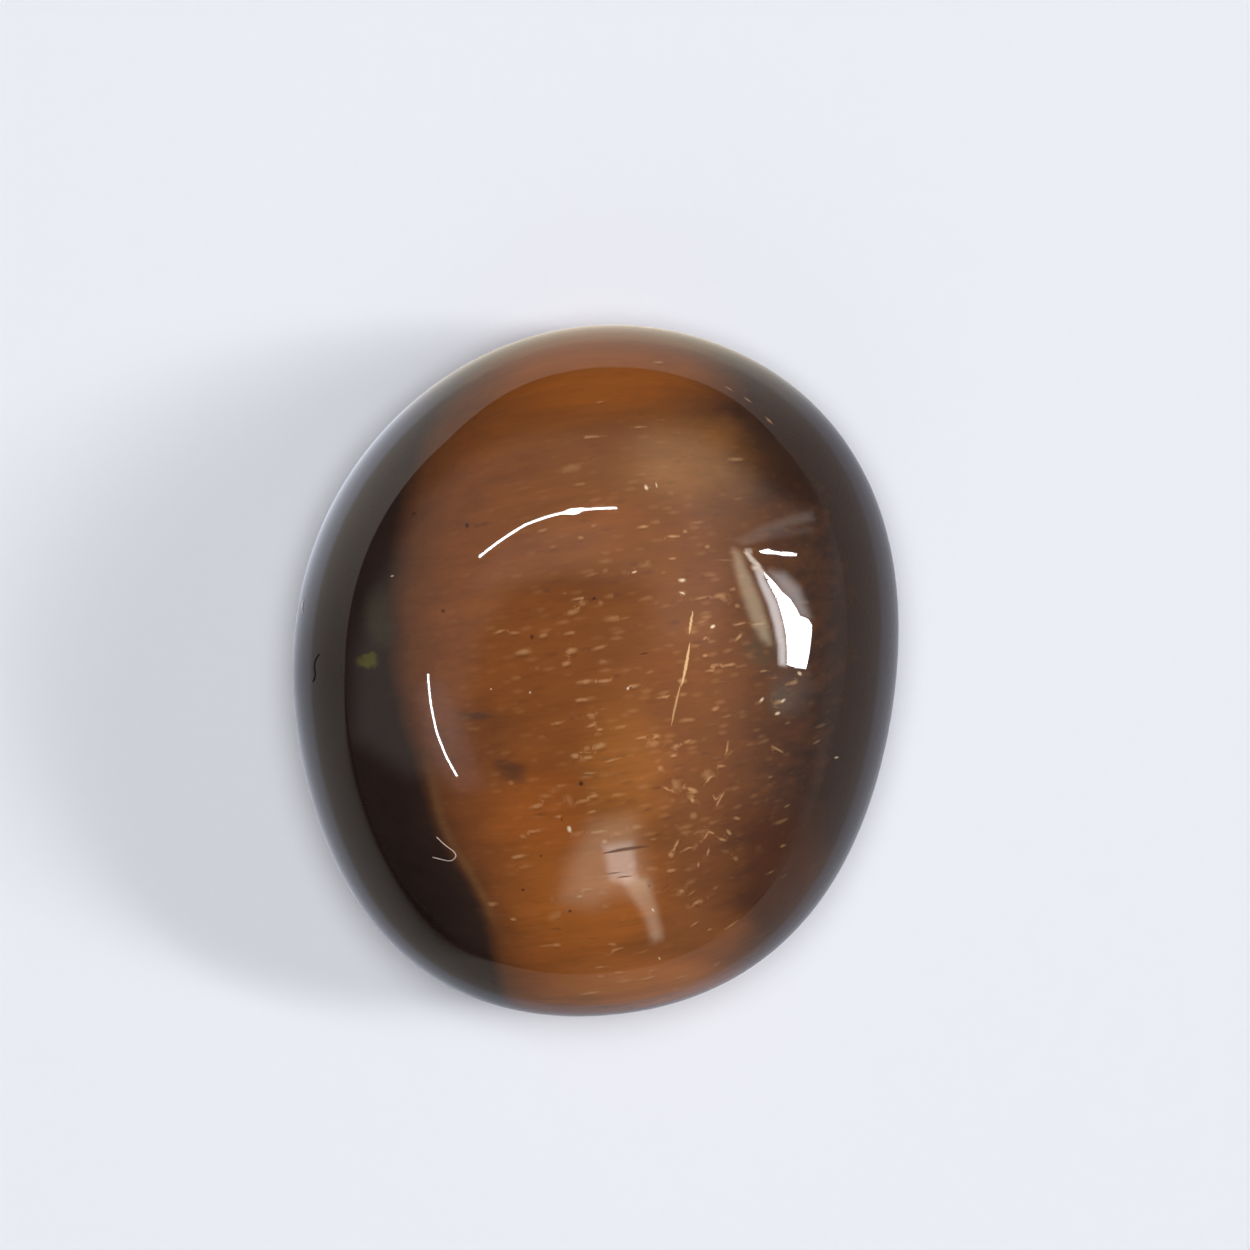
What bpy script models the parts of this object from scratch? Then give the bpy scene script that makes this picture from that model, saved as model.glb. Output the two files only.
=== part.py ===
"""A polished tiger's eye cabochon: an oval domed stone, cut and polished by hand, with a flat ground back.

Frame: metres, +Z up. The origin is the centre of the flat back, +Y runs along the stone's length and +X across it.
The fibres of the stone run across it, so that the bright band that they give runs along the dome.
"""

import math

import bmesh
import bpy
from mathutils import Vector

# Driving dimensions
LENGTH = 0.0200
WIDTH = 0.0173
DOME_HEIGHT = 0.0062
BACK_DEPTH = 0.0020
BACK_INSET = 0.0009

# The oval isn't quite regular. Each lobe is a wave round the outline: how many swellings it has, how far they
# stand out as a share of the radius, and the bearing of the first one from +X in degrees.
OUTLINE_LOBES = (
    (1, 0.0176, 21.0),
    (3, 0.0075, 49.5),
    (4, 0.0102, 55.9),
    (5, 0.0061, 33.7),
)
OUTLINE_STEPS = 720

# A dome of fullness 2 is part of an ellipsoid, and a higher value is fuller at the shoulders.
DOME_FULLNESS = 2.1
BACK_TURN = math.radians(62)

# Low waves that hand polishing leaves on the dome: height in metres, wavelength in metres, bearing in degrees
# and phase in degrees.
POLISHING_WAVES = (
    (0.000022, 0.0110, 15.0, 40.0),
    (0.000016, 0.0083, 75.0, 200.0),
    (0.000012, 0.0067, 130.0, 310.0),
)

# The mesh starts as a cube. Its top face becomes the crown, its sides the shoulders, the girdle and the rounded
# back edge, and its underside the flat back. Rings are counted from the crown's middle.
GRID = 24
CROWN_SHARE = 0.50
BACK_EDGE_SHARE = 1 / 6
ON_TOP_FACE = 0.999

STONE_BROWN = (0.155, 0.061, 0.023, 1.0)
POLISH_ROUGHNESS = 0.06
QUARTZ_IOR = 1.54


def clear_scene():
    for obj in list(bpy.data.objects):
        bpy.data.objects.remove(obj)


def lobed_radius(bearing):
    """The outline's radius at a bearing, as a share of the plain oval's."""
    return 1.0 + sum(
        swell * math.cos(count * (bearing - math.radians(first)))
        for count, swell, first in OUTLINE_LOBES
    )


def lobed_point(bearing):
    """The outline's point at a bearing, on an oval of half-axes 1, before it is centred."""
    radius = lobed_radius(bearing)
    return Vector((radius * math.cos(bearing), radius * math.sin(bearing)))


def outline_limits():
    """The lowest and highest corner of the outline on the oval of half-axes 1."""
    points = [lobed_point(math.tau * step / OUTLINE_STEPS) for step in range(OUTLINE_STEPS)]
    low = Vector((min(p.x for p in points), min(p.y for p in points)))
    high = Vector((max(p.x for p in points), max(p.y for p in points)))
    return low, high


def square_ring(x, y):
    """(ring, bearing) of a point of a square of half-side 1: nested squares become circles."""
    if abs(x) >= abs(y):
        ring = abs(x)
        turn = math.pi / 4 * y / x if ring > 0 else 0.0
        bearing = turn if x > 0 else turn + math.pi
    else:
        ring = abs(y)
        turn = math.pi / 2 - math.pi / 4 * x / y
        bearing = turn if y > 0 else turn + math.pi
    return ring, bearing


def dome_profile(share):
    """(radius, height over the girdle) along the dome, from the crown at 0 to the girdle at 1."""
    angle = share * math.pi / 2
    power = 2 / DOME_FULLNESS
    return math.sin(angle) ** power, DOME_HEIGHT * max(math.cos(angle), 0.0) ** power


def back_profile(share):
    """(radius, height over the girdle) along the rounded back edge, from the girdle at 0 to the flat back at 1."""
    angle = share * BACK_TURN
    inset = 2 * BACK_INSET / WIDTH * (1 - math.cos(angle)) / (1 - math.cos(BACK_TURN))
    return 1 - inset, -BACK_DEPTH * math.sin(angle) / math.sin(BACK_TURN)


def ring_profile(corner):
    """(radius, height over the girdle, bearing) for a point of the cube of half-side 1."""
    ring, bearing = square_ring(corner.x, corner.y)
    down = (1 - corner.z) / 2
    dome_part = 1 - BACK_EDGE_SHARE
    if corner.z > ON_TOP_FACE:
        radius, height = dome_profile(ring * CROWN_SHARE)
    elif down <= dome_part:
        radius, height = dome_profile(CROWN_SHARE + (1 - CROWN_SHARE) * down / dome_part)
    else:
        radius, height = back_profile((down - dome_part) / BACK_EDGE_SHARE)
    return radius, height, bearing


def polishing_waves(x, y):
    """How far the polishing waves lift the dome at a point."""
    lift = 0.0
    for height, wavelength, bearing, phase in POLISHING_WAVES:
        along = x * math.cos(math.radians(bearing)) + y * math.sin(math.radians(bearing))
        lift += height * math.sin(math.tau * along / wavelength + math.radians(phase))
    return lift


def cabochon_point(corner, low, high):
    """Where a point of the cube of half-side 1 lies on the stone."""
    radius, height, bearing = ring_profile(corner)
    outline = radius * lobed_point(bearing)
    middle = (low + high) / 2
    x = WIDTH * (outline.x - radius * middle.x) / (high.x - low.x)
    y = LENGTH * (outline.y - radius * middle.y) / (high.y - low.y)
    if height > 0:
        height += polishing_waves(x, y) * height / DOME_HEIGHT
    return Vector((x, y, BACK_DEPTH + height))


def gridded_cube():
    """A cube of half-side 1 with its faces cut into a grid, except the underside, which is one face."""
    form = bmesh.new()
    bmesh.ops.create_cube(form, size=2.0)
    bmesh.ops.subdivide_edges(form, edges=form.edges[:], cuts=GRID - 1, use_grid_fill=True)
    underside = [face for face in form.faces if face.calc_center_median().z < -ON_TOP_FACE]
    bmesh.ops.dissolve_faces(form, faces=underside)
    return form


def stone_material():
    material = bpy.data.materials.new("tigers_eye")
    material.use_nodes = True
    shader = material.node_tree.nodes["Principled BSDF"]
    shader.inputs["Base Color"].default_value = STONE_BROWN
    shader.inputs["Roughness"].default_value = POLISH_ROUGHNESS
    shader.inputs["Metallic"].default_value = 0.0
    shader.inputs["IOR"].default_value = QUARTZ_IOR
    return material


def make_cabochon(collection):
    low, high = outline_limits()
    form = gridded_cube()
    for vertex in form.verts:
        vertex.co = cabochon_point(vertex.co, low, high)
    bmesh.ops.recalc_face_normals(form, faces=form.faces[:])
    mesh = bpy.data.meshes.new("cabochon")
    form.to_mesh(mesh)
    form.free()
    mesh.materials.append(stone_material())
    mesh.shade_smooth()
    mesh.set_sharp_from_angle(angle=math.radians(25))
    stone = bpy.data.objects.new("cabochon", mesh)
    collection.objects.link(stone)
    return stone


def main():
    clear_scene()
    collection = bpy.data.collections.new("tigers_eye_cabochon")
    bpy.context.scene.collection.children.link(collection)
    make_cabochon(collection)


main()
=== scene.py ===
import math

import bmesh
import bpy
from mathutils import Matrix, Vector
from mathutils.bvhtree import BVHTree
from mathutils.geometry import intersect_point_line
from mathutils.interpolate import poly_3d_calc


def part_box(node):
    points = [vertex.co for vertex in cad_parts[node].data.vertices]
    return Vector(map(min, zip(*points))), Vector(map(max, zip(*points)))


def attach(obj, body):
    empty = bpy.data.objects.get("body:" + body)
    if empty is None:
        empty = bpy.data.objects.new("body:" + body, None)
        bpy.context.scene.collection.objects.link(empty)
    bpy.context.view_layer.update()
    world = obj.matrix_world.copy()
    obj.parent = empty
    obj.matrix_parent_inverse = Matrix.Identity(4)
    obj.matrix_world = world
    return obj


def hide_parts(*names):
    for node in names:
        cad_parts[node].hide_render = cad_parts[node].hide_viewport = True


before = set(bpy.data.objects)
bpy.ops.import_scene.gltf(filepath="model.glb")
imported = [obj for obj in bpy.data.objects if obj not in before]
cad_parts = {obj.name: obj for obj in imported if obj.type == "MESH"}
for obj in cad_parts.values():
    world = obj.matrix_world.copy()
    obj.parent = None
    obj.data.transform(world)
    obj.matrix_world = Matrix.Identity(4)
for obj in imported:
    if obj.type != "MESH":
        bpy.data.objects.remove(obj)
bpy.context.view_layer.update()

MILLIMETRE = 0.001

# The photo is square. The stone's centre is at a pixel of it, and its length leans to the photo's right.
PHOTO_SIZE = 1250
PIXELS_PER_METRE = 34850.0
STONE_AT = (593.1, 670.9)
STONE_TURN = math.radians(10.5)
CAMERA_DISTANCE = 0.15
CAMERA_TILT = math.radians(-3)
SENSOR_WIDTH = 36.0
PHOTO_RIGHT = Vector((math.cos(STONE_TURN), math.sin(STONE_TURN), 0))
PHOTO_UP = Vector((-math.sin(STONE_TURN), math.cos(STONE_TURN), 0))
WORLD_UP = Vector((0, 0, 1))

# The stone's shape, by the same rule as the solid's: a lopsided oval, a full dome, a rounded lower edge.
STONE_LOW, STONE_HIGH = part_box("cabochon")
BACK_DEPTH = 0.0020
BACK_INSET = 0.0009
BACK_TURN = math.radians(62)
OUTLINE_LOBES = (
    (1, 0.0176, 21.0),
    (3, 0.0075, 49.5),
    (4, 0.0102, 55.9),
    (5, 0.0061, 33.7),
)
OUTLINE_STEPS = 720
DOME_FULLNESS = 2.1
POLISHING_WAVES = (
    (0.000022, 0.0110, 15.0, 40.0),
    (0.000016, 0.0083, 75.0, 200.0),
    (0.000012, 0.0067, 130.0, 310.0),
)
CROWN_SHARE = 0.50
BACK_EDGE_SHARE = 1 / 6
GUIDE_SEGMENTS = (72, 24)
STONE_SEGMENTS = (210, 60)
ON_CUBE_FACE = 0.999
WELD_REACH = 1e-7
BACK_TOLERANCE = 1e-6

# The fibres cross the stone. Their bearing is from +X.
FIBRE_BEARING = math.radians(19.5)
FIBRE = Vector((math.cos(FIBRE_BEARING), math.sin(FIBRE_BEARING), 0))
ACROSS_FIBRE = Vector((-math.sin(FIBRE_BEARING), math.cos(FIBRE_BEARING), 0))

# Flecks are short pits, mostly along the fibres, where the polish has pulled fibre ends out. Their fields are
# ovals on the photo: the middle pixel, and the half-width and half-height in metres.
FLECK_DEPTH = 0.0000009
FLECK_DENSITY = 3.0e6
FLECK_SPACING = 0.00034
FLECK_SEED = 7
FLECK_FIELD = ((642, 700), (0.0056, 0.0104))
LOOSE_FIELD = ((706, 845), (0.0021, 0.0042))
LOOSE_TURN = 1.3

# What each fleck has, and the range for the scattered ones: half-length and half-width in metres, turn from
# the fibres, and tone. A tone under 0.1 is dark and one over 1 is cream, and the cream ones are specks and
# painted glints.
FLECK_RANGES = (
    ("fleck_length", 0.00006, 0.00023),
    ("fleck_width", 0.000030, 0.000072),
    ("fleck_turn", -0.15, 0.15),
    ("fleck_tone", 0.0, 1.0),
)


class Sum:
    """A number on its way through a node tree. A sum written with it becomes Math nodes."""

    def __init__(self, tree, socket):
        self.tree = tree
        self.socket = socket

    def __add__(self, other):
        return math_node(self.tree, "ADD", self, other)

    def __sub__(self, other):
        return math_node(self.tree, "SUBTRACT", self, other)

    def __rsub__(self, other):
        return math_node(self.tree, "SUBTRACT", other, self)

    def __mul__(self, other):
        return math_node(self.tree, "MULTIPLY", self, other)

    def __truediv__(self, other):
        return math_node(self.tree, "DIVIDE", self, other)

    def __pow__(self, other):
        return math_node(self.tree, "POWER", self, other)

    def __abs__(self):
        return math_node(self.tree, "ABSOLUTE", self)

    __radd__ = __add__
    __rmul__ = __mul__


def feed(tree, place, value):
    """Links a sum or a socket to an input, or sets the input's own value."""
    if isinstance(value, Sum):
        tree.links.new(value.socket, place)
    elif isinstance(value, bpy.types.NodeSocket):
        tree.links.new(value, place)
    else:
        place.default_value = value


def add(tree, kind, inputs=None, **settings):
    """Adds a node with its settings, then links or sets its inputs, each by its name or number."""
    node = tree.nodes.new(kind)
    for name, value in settings.items():
        setattr(node, name, value)
    for key, value in (inputs or {}).items():
        feed(tree, node.inputs[key], value)
    return node


def math_node(tree, operation, *values):
    node = add(tree, "ShaderNodeMath", dict(enumerate(values)), operation=operation)
    return Sum(tree, node.outputs[0])


def sine(value):
    return math_node(value.tree, "SINE", value) if isinstance(value, Sum) else math.sin(value)


def cosine(value):
    return math_node(value.tree, "COSINE", value) if isinstance(value, Sum) else math.cos(value)


def greater(first, second):
    return math_node(first.tree, "MAXIMUM", first, second)


def lesser(first, second):
    return math_node(first.tree, "MINIMUM", first, second)


def ease(value, start, end):
    """Rises smoothly from 0 at start to 1 at end, or falls where end is the lower of the two."""
    node = add(
        value.tree,
        "ShaderNodeMapRange",
        {"Value": value, "From Min": start, "From Max": end},
        interpolation_type="SMOOTHSTEP",
    )
    return Sum(value.tree, node.outputs["Result"])


def split(tree, vector):
    node = add(tree, "ShaderNodeSeparateXYZ", {0: vector})
    return [Sum(tree, socket) for socket in node.outputs]


def join(tree, x, y, z):
    return add(tree, "ShaderNodeCombineXYZ", {0: x, 1: y, 2: z}).outputs[0]


def length_of(x, y):
    return math_node(x.tree, "SQRT", x * x + y * y)


def dot(tree, vector, direction):
    node = add(tree, "ShaderNodeVectorMath", {0: vector, 1: direction}, operation="DOT_PRODUCT")
    return Sum(tree, node.outputs["Value"])


def vector_node(tree, operation, *values):
    return add(tree, "ShaderNodeVectorMath", dict(enumerate(values)), operation=operation).outputs[0]


def scaled(tree, vector, factor):
    """A vector or a colour times a number."""
    return add(tree, "ShaderNodeVectorMath", {0: vector, "Scale": factor}, operation="SCALE").outputs[0]


def in_scene(name, data):
    """A new object with this data, in the scene."""
    obj = bpy.data.objects.new(name, data)
    bpy.context.scene.collection.objects.link(obj)
    return obj


def lobed_radius(bearing):
    """The outline's radius at a bearing, as a share of the plain oval's."""
    radius = 1.0
    for count, swell, first in OUTLINE_LOBES:
        radius = radius + swell * cosine(count * (bearing - math.radians(first)))
    return radius


def outline_limits():
    """The lowest and highest corner of the outline on the oval of half-axes 1."""
    bearings = [math.tau * step / OUTLINE_STEPS for step in range(OUTLINE_STEPS)]
    xs = [lobed_radius(bearing) * math.cos(bearing) for bearing in bearings]
    ys = [lobed_radius(bearing) * math.sin(bearing) for bearing in bearings]
    return Vector((min(xs), min(ys))), Vector((max(xs), max(ys)))


STONE_INPUTS = (
    ("Length", "NodeSocketFloat"),
    ("Width", "NodeSocketFloat"),
    ("Dome Height", "NodeSocketFloat"),
    ("Back Depth", "NodeSocketFloat"),
    ("Back Inset", "NodeSocketFloat"),
    ("Crown Segments", "NodeSocketInt"),
    ("Side Segments", "NodeSocketInt"),
    ("Fleck Density", "NodeSocketFloat"),
    ("Fleck Spacing", "NodeSocketFloat"),
    ("Fleck Seed", "NodeSocketInt"),
    ("Fleck Depth", "NodeSocketFloat"),
    ("Placed Flecks", "NodeSocketObject"),
    ("Polished Material", "NodeSocketMaterial"),
    ("Ground Material", "NodeSocketMaterial"),
)


def position_of(tree):
    return add(tree, "GeometryNodeInputPosition").outputs[0]


def normal_of(tree):
    return add(tree, "GeometryNodeInputNormal").outputs[0]


def joined(tree, first, second):
    """Two geometries as one."""
    both = tree.nodes.new("GeometryNodeJoinGeometry")
    tree.links.new(first, both.inputs[0])
    tree.links.new(second, both.inputs[0])
    return both.outputs[0]


def covered(tree, geometry, material, selection=True):
    """The geometry with a material on its selected faces."""
    inputs = {"Geometry": geometry, "Selection": selection, "Material": material}
    return add(tree, "GeometryNodeSetMaterial", inputs).outputs[0]


def cabochon_position(tree, size):
    """Where a point of the cube of half-side 1 lies on the stone."""
    low, high = outline_limits()
    middle, span = (low + high) / 2, high - low
    x, y, z = split(tree, position_of(tree))
    ring = greater(greater(abs(x), abs(y)), 1e-6)
    eighth = math.pi / 4
    bearing = math_node(
        tree,
        "ARCTAN2",
        math_node(tree, "TANGENT", eighth * y / ring),
        math_node(tree, "TANGENT", eighth * x / ring),
    )
    down = (1 - z) / 2
    shoulder = lesser(down / (1 - BACK_EDGE_SHARE), 1.0)
    edge = greater((down - (1 - BACK_EDGE_SHARE)) / BACK_EDGE_SHARE, 0.0)

    angle = (CROWN_SHARE * ring + (1 - CROWN_SHARE) * shoulder) * (math.pi / 2)
    power = 2 / DOME_FULLNESS
    dome_radius = sine(angle) ** power
    dome_rise = greater(cosine(angle), 0.0) ** power
    turn = edge * BACK_TURN
    inset = 2 * size["Back Inset"] / size["Width"] * (1 - cosine(turn)) / (1 - math.cos(BACK_TURN))
    radius = dome_radius * (1 - inset)
    drop = size["Back Depth"] * sine(turn) / math.sin(BACK_TURN)

    lobed = lobed_radius(bearing)
    east = size["Width"] * radius * (lobed * cosine(bearing) - middle.x) / span.x
    north = size["Length"] * radius * (lobed * sine(bearing) - middle.y) / span.y
    waves = 0.0
    for height, wavelength, toward, phase in POLISHING_WAVES:
        toward = math.radians(toward)
        along = east * math.cos(toward) + north * math.sin(toward)
        waves = waves + height * sine(math.tau / wavelength * along + math.radians(phase))
    rise = size["Back Depth"] + (size["Dome Height"] + waves) * dome_rise - drop
    return join(tree, east, north, rise)


def field_share(tree, position, field):
    """1 in the middle of an oval field on the dome, falling smoothly to 0 at its edge and the girdle."""
    pixel, (half_width, half_length) = field
    x, y, z = split(tree, position)
    across, along = pixel_offset(pixel)
    right = (dot(tree, position, PHOTO_RIGHT) - across) / half_width
    up = (dot(tree, position, PHOTO_UP) - along) / half_length
    return ease(length_of(right, up), 1.0, 0.45) * ease(z, BACK_DEPTH, BACK_DEPTH * 1.2)


def scatter_flecks(tree, dome, size):
    """Points on the dome, one for each fleck. In the loose field the flecks lie at all bearings."""
    position = position_of(tree)
    points = add(
        tree,
        "GeometryNodeDistributePointsOnFaces",
        {
            "Mesh": dome,
            "Distance Min": size["Fleck Spacing"],
            "Density Max": size["Fleck Density"],
            "Density Factor": field_share(tree, position, FLECK_FIELD),
            "Seed": size["Fleck Seed"],
        },
        distribute_method="POISSON",
    )
    scattered = points.outputs["Points"]
    loose_turn = random_share(tree, -LOOSE_TURN, LOOSE_TURN, len(FLECK_RANGES)) * field_share(
        tree, position, LOOSE_FIELD
    )
    for seed, (name, low, high) in enumerate(FLECK_RANGES):
        value = random_share(tree, low, high, seed)
        if name == "fleck_turn":
            value = value + loose_turn
        scattered = store(tree, scattered, name, "FLOAT", value)
    placed = add(tree, "GeometryNodeObjectInfo", {"Object": size["Placed Flecks"]}).outputs["Geometry"]
    placed = add(tree, "GeometryNodeMeshToPoints", {"Mesh": placed}).outputs[0]
    return joined(tree, scattered, placed)


def random_share(tree, low, high, seed):
    node = add(tree, "FunctionNodeRandomValue", {2: low, 3: high, "Seed": seed}, data_type="FLOAT")
    return Sum(tree, node.outputs[1])


def sampled(tree, points, index, kind, value):
    """A value of one of the points."""
    node = add(tree, "GeometryNodeSampleIndex", {"Geometry": points, "Index": index}, data_type=kind)
    feed(tree, node.inputs["Value"], value)
    return node.outputs[0]


def nearest_fleck(tree, flecks):
    """A point's place in its nearest fleck, in shares of the fleck's half-length and half-width, and tone."""
    position = position_of(tree)
    index = add(tree, "GeometryNodeSampleNearest", {"Geometry": flecks}).outputs[0]
    middle = sampled(tree, flecks, index, "FLOAT_VECTOR", position)
    offset = vector_node(tree, "SUBTRACT", position, middle)
    side = vector_node(tree, "NORMALIZE", vector_node(tree, "CROSS_PRODUCT", normal_of(tree), FIBRE))
    east, north = dot(tree, offset, FIBRE), dot(tree, offset, side)
    half_length, half_width, turn, tone = (
        Sum(tree, sampled(tree, flecks, index, "FLOAT", named_value(tree, name)))
        for name, low, high in FLECK_RANGES
    )
    along = (east * cosine(turn) + north * sine(turn)) / half_length
    across = (north * cosine(turn) - east * sine(turn)) / half_width
    return along, across, tone


def named_value(tree, name):
    return add(tree, "GeometryNodeInputNamedAttribute", {"Name": name}, data_type="FLOAT").outputs[0]


def store(tree, geometry, name, kind, value):
    node = add(
        tree,
        "GeometryNodeStoreNamedAttribute",
        {"Geometry": geometry, "Name": name, "Value": value},
        data_type=kind,
        domain="POINT",
    )
    return node.outputs[0]


def close_back(tree, dome):
    """Fills the open rim of the back with one flat face that looks down."""
    neighbours = add(tree, "GeometryNodeInputMeshEdgeNeighbors").outputs[0]
    is_rim = add(tree, "FunctionNodeCompare", {2: neighbours, 3: 1}, data_type="INT", operation="EQUAL")
    rim = add(tree, "GeometryNodeMeshToCurve", {"Mesh": dome, "Selection": is_rim.outputs[0]})
    filled = add(tree, "GeometryNodeFillCurve", {"Curve": rim.outputs[0]}, mode="NGONS")
    back = add(tree, "GeometryNodeFlipFaces", {"Mesh": filled.outputs[0]}).outputs[0]
    both = joined(tree, back, dome)
    return add(tree, "GeometryNodeMergeByDistance", {"Geometry": both, "Distance": WELD_REACH}).outputs[0]


def on_back(tree):
    """Whether a face lies in the flat back."""
    x, y, z = split(tree, position_of(tree))
    return math_node(tree, "LESS_THAN", z, BACK_TOLERANCE)


def open_dome(tree, size):
    """The stone's shape from a gridded cube, without flecks and open at the back."""
    cube = add(
        tree,
        "GeometryNodeMeshCube",
        {
            "Size": (2, 2, 2),
            "Vertices X": size["Crown Segments"] + 1,
            "Vertices Y": size["Crown Segments"] + 1,
            "Vertices Z": size["Side Segments"] + 1,
        },
    )
    x, y, z = split(tree, position_of(tree))
    open_cube = add(
        tree,
        "GeometryNodeDeleteGeometry",
        {"Geometry": cube.outputs["Mesh"], "Selection": math_node(tree, "LESS_THAN", z, -ON_CUBE_FACE)},
        domain="FACE",
    ).outputs[0]
    inputs = {"Geometry": open_cube, "Position": cabochon_position(tree, size)}
    return add(tree, "GeometryNodeSetPosition", inputs).outputs[0]


def pitted_dome(tree, dome, size):
    """The dome with its flecks sunk in, and with what the material needs to know of them."""
    along, across, tone = nearest_fleck(tree, scatter_flecks(tree, dome, size))
    distance = length_of(along, across)
    marked = store(tree, dome, "fleck_place", "FLOAT_VECTOR", join(tree, along, across, tone))
    marked = store(tree, marked, "near_fleck", "FLOAT", ease(distance, 2.3, 1.6))
    depth = -1.0 * size["Fleck Depth"] * ease(distance, 1.5, 0.4)
    inputs = {"Geometry": marked, "Offset": scaled(tree, normal_of(tree), depth)}
    return add(tree, "GeometryNodeSetPosition", inputs).outputs[0]


def stone_tree():
    """The tree that makes the stone: its shape, its flecks, its back and its materials."""
    tree = bpy.data.node_groups.new("cabochon_shape", "GeometryNodeTree")
    for name, kind in STONE_INPUTS:
        tree.interface.new_socket(name, in_out="INPUT", socket_type=kind)
    tree.interface.new_socket("Geometry", in_out="OUTPUT", socket_type="NodeSocketGeometry")
    given = tree.nodes.new("NodeGroupInput")
    size = {name: Sum(tree, given.outputs[name]) for name, kind in STONE_INPUTS}
    closed = close_back(tree, pitted_dome(tree, open_dome(tree, size), size))
    smooth = add(
        tree,
        "GeometryNodeSetShadeSmooth",
        {"Geometry": closed, "Shade Smooth": 1 - on_back(tree)},
        domain="FACE",
    ).outputs[0]
    polished = covered(tree, smooth, size["Polished Material"])
    ground = covered(tree, polished, size["Ground Material"], on_back(tree))
    real = add(tree, "GeometryNodeRealizeInstances", {"Geometry": ground}).outputs[0]
    result = tree.nodes.new("NodeGroupOutput")
    tree.links.new(real, result.inputs["Geometry"])
    return tree


def grow_stone(name, tree, segments, fleck_depth, placed_flecks, polished, ground):
    """The stone as a plain mesh object, from the tree with these segments."""
    crown, side = segments
    values = {
        "Length": STONE_HIGH.y - STONE_LOW.y,
        "Width": STONE_HIGH.x - STONE_LOW.x,
        "Dome Height": STONE_HIGH.z - STONE_LOW.z - BACK_DEPTH,
        "Back Depth": BACK_DEPTH,
        "Back Inset": BACK_INSET,
        "Crown Segments": crown,
        "Side Segments": side,
        "Fleck Density": FLECK_DENSITY,
        "Fleck Spacing": FLECK_SPACING,
        "Fleck Seed": FLECK_SEED,
        "Fleck Depth": fleck_depth,
        "Placed Flecks": placed_flecks,
        "Polished Material": polished,
        "Ground Material": ground,
    }
    stone = in_scene(name, bpy.data.meshes.new(name + "_start"))
    modifier = stone.modifiers.new("shape", "NODES")
    modifier.node_group = tree
    for item in tree.interface.items_tree:
        if item.in_out == "INPUT":
            modifier[item.identifier] = values[item.name]
    return made_plain(stone)


def made_plain(obj):
    """Turns an object's evaluated shape into its own plain mesh."""
    bpy.context.view_layer.update()
    evaluated = obj.evaluated_get(bpy.context.evaluated_depsgraph_get())
    mesh = bpy.data.meshes.new_from_object(evaluated)
    mesh.name = obj.name
    for index in reversed(range(len(mesh.materials))):
        if mesh.materials[index] is None:
            mesh.materials.pop(index=index)
    if obj.type == "MESH":
        obj.modifiers.clear()
        obj.data = mesh
        return obj
    plain = in_scene(obj.name + "_mesh", mesh)
    bpy.data.objects.remove(obj)
    return plain


def pixel_offset(pixel):
    """How far a pixel of the photo lies right of the stone's centre and above it, in metres at the girdle."""
    right = (pixel[0] - STONE_AT[0]) / PIXELS_PER_METRE
    up = (STONE_AT[1] - pixel[1]) / PIXELS_PER_METRE
    return right, up


def make_camera():
    """A camera over the stone, a little towards the photo's upper edge, with the photo's framing."""
    right, up = pixel_offset((PHOTO_SIZE / 2, PHOTO_SIZE / 2))
    target = right * PHOTO_RIGHT + up * PHOTO_UP + Vector((0, 0, BACK_DEPTH))
    back = WORLD_UP * math.cos(CAMERA_TILT) - PHOTO_UP * math.sin(CAMERA_TILT)
    data = bpy.data.cameras.new("camera")
    data.sensor_width = SENSOR_WIDTH
    data.lens = SENSOR_WIDTH * CAMERA_DISTANCE * PIXELS_PER_METRE / PHOTO_SIZE
    data.clip_start = 0.001
    camera = in_scene("camera", data)
    place = target + back * CAMERA_DISTANCE
    turn = Matrix((PHOTO_RIGHT, back.cross(PHOTO_RIGHT), back)).transposed()
    camera.matrix_world = Matrix.Translation(place) @ turn.to_4x4()
    bpy.context.scene.camera = camera
    bpy.context.view_layer.update()
    return camera


class StoneView:
    """What the camera sees at each pixel of the photo: a point of the smooth stone, and what it mirrors."""

    def __init__(self, camera, guide):
        self.camera = camera
        self.mesh = guide.data
        places = [vertex.co.copy() for vertex in self.mesh.vertices]
        self.tree = BVHTree.FromPolygons(places, [face.vertices[:] for face in self.mesh.polygons])

    def ray(self, pixel):
        scale = SENSOR_WIDTH / self.camera.data.lens / PHOTO_SIZE
        right = (pixel[0] - PHOTO_SIZE / 2) * scale
        up = (PHOTO_SIZE / 2 - pixel[1]) * scale
        return (self.camera.matrix_world.to_3x3() @ Vector((right, up, -1))).normalized()

    def sees_stone(self, pixel):
        return self.tree.ray_cast(self.camera.matrix_world.translation, self.ray(pixel))[0] is not None

    def point_and_normal(self, pixel):
        start = self.camera.matrix_world.translation
        place, flat_normal, index, distance = self.tree.ray_cast(start, self.ray(pixel))
        corners = [self.mesh.vertices[i] for i in self.mesh.polygons[index].vertices]
        shares = poly_3d_calc([corner.co for corner in corners], place)
        normal = sum((share * corner.normal for share, corner in zip(shares, corners)), Vector())
        return place, normal.normalized()

    def point(self, pixel):
        return self.point_and_normal(pixel)[0]

    def mirrored(self, pixel):
        """(point, direction): what the surface mirrors to the camera at a pixel."""
        place, normal = self.point_and_normal(pixel)
        return place, self.ray(pixel).reflect(normal)


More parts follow.
